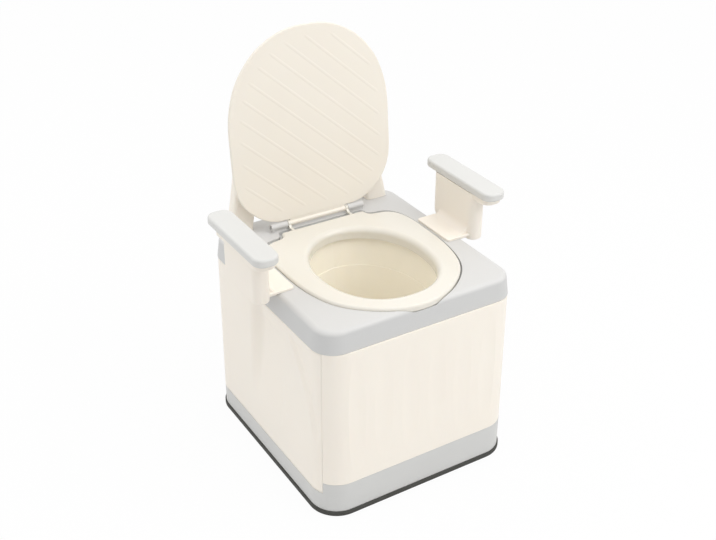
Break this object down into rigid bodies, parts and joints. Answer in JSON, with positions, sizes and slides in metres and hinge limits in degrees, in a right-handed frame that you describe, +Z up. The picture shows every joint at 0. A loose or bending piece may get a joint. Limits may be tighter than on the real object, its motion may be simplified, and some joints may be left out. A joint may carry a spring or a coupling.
{
  "type": "portable commode",
  "caption": "Box-shaped floor-standing commode with a bucket under a hinged seat ring and lid, flanked by lift-off armrests and backed by a plug-in arched backrest",
  "frame": {"origin": "Centre of the underside of the base strip, on the floor", "axes": "+X to the right of a viewer facing the front, +Y from the front to the back, +Z up"},
  "size_m": [0.4988, 0.441, 0.7439],
  "materials": {
    "black_rubber": "matt",
    "gray_plastic": "satin",
    "cream_plastic": "satin",
    "ring_plastic": "gloss",
    "bucket_plastic": "satin gloss",
    "gray_rubber": "matt",
    "rod_steel": "zinc plated"
  },
  "bodies": {
    "base": {"anti_slip_strip": "black_rubber", "base_tray": "gray_plastic", "front_panel": "cream_plastic", "rear_panel": "cream_plastic", "left_side_panel": "cream_plastic", "right_side_panel": "cream_plastic", "deck": "gray_plastic", "bucket": "bucket_plastic", "bucket_handle": "gray_plastic", "hinge_rod": "rod_steel", "hinge_knuckle_left": "gray_plastic", "hinge_knuckle_right": "gray_plastic", "hinge_screw_left_inner": "rod_steel", "hinge_screw_left_outer": "rod_steel", "hinge_screw_right_inner": "rod_steel", "hinge_screw_right_outer": "rod_steel"},
    "seat": {"seat_ring": "ring_plastic", "seat_bumper_1": "gray_rubber", "seat_bumper_2": "gray_rubber", "seat_bumper_3": "gray_rubber", "seat_bumper_4": "gray_rubber", "seat_hinge_eye_left": "ring_plastic", "seat_hinge_eye_right": "ring_plastic"},
    "lid_leaf": {"lid": "ring_plastic", "lid_hinge_barrel": "ring_plastic"},
    "backrest_unit": {"backrest": "cream_plastic", "backrest_buffer_left": "gray_rubber", "backrest_buffer_right": "gray_rubber"},
    "armrest_left": {"armrest_bracket_left": "cream_plastic", "armrest_pad_left": "gray_plastic", "pad_screw_left_front": "rod_steel", "pad_screw_left_rear": "rod_steel"},
    "armrest_right": {"armrest_bracket_right": "cream_plastic", "armrest_pad_right": "gray_plastic", "pad_screw_right_front": "rod_steel", "pad_screw_right_rear": "rod_steel"}
  },
  "joints": [
    {"name": "seat_hinge", "type": "hinge", "parent": "base", "child": "seat", "pos_m": [0, 0.148, 0.384], "axis": [-1, 0, 0], "range_deg": [0, 94]},
    {"name": "lid_hinge", "type": "hinge", "parent": "base", "child": "lid_leaf", "pos_m": [0, 0.148, 0.384], "axis": [-1, 0, 0], "range_deg": [-95.5, 0]},
    {"name": "backrest_lift", "type": "slide", "parent": "base", "child": "backrest_unit", "axis": [0, 0.0958, 0.9954], "range_m": [0, 0.06]},
    {"name": "left_armrest_lift", "type": "slide", "parent": "base", "child": "armrest_left", "axis": [0, 0, 1], "range_m": [0, 0.04]},
    {"name": "right_armrest_lift", "type": "slide", "parent": "base", "child": "armrest_right", "axis": [0, 0, 1], "range_m": [0, 0.04]}
  ]
}
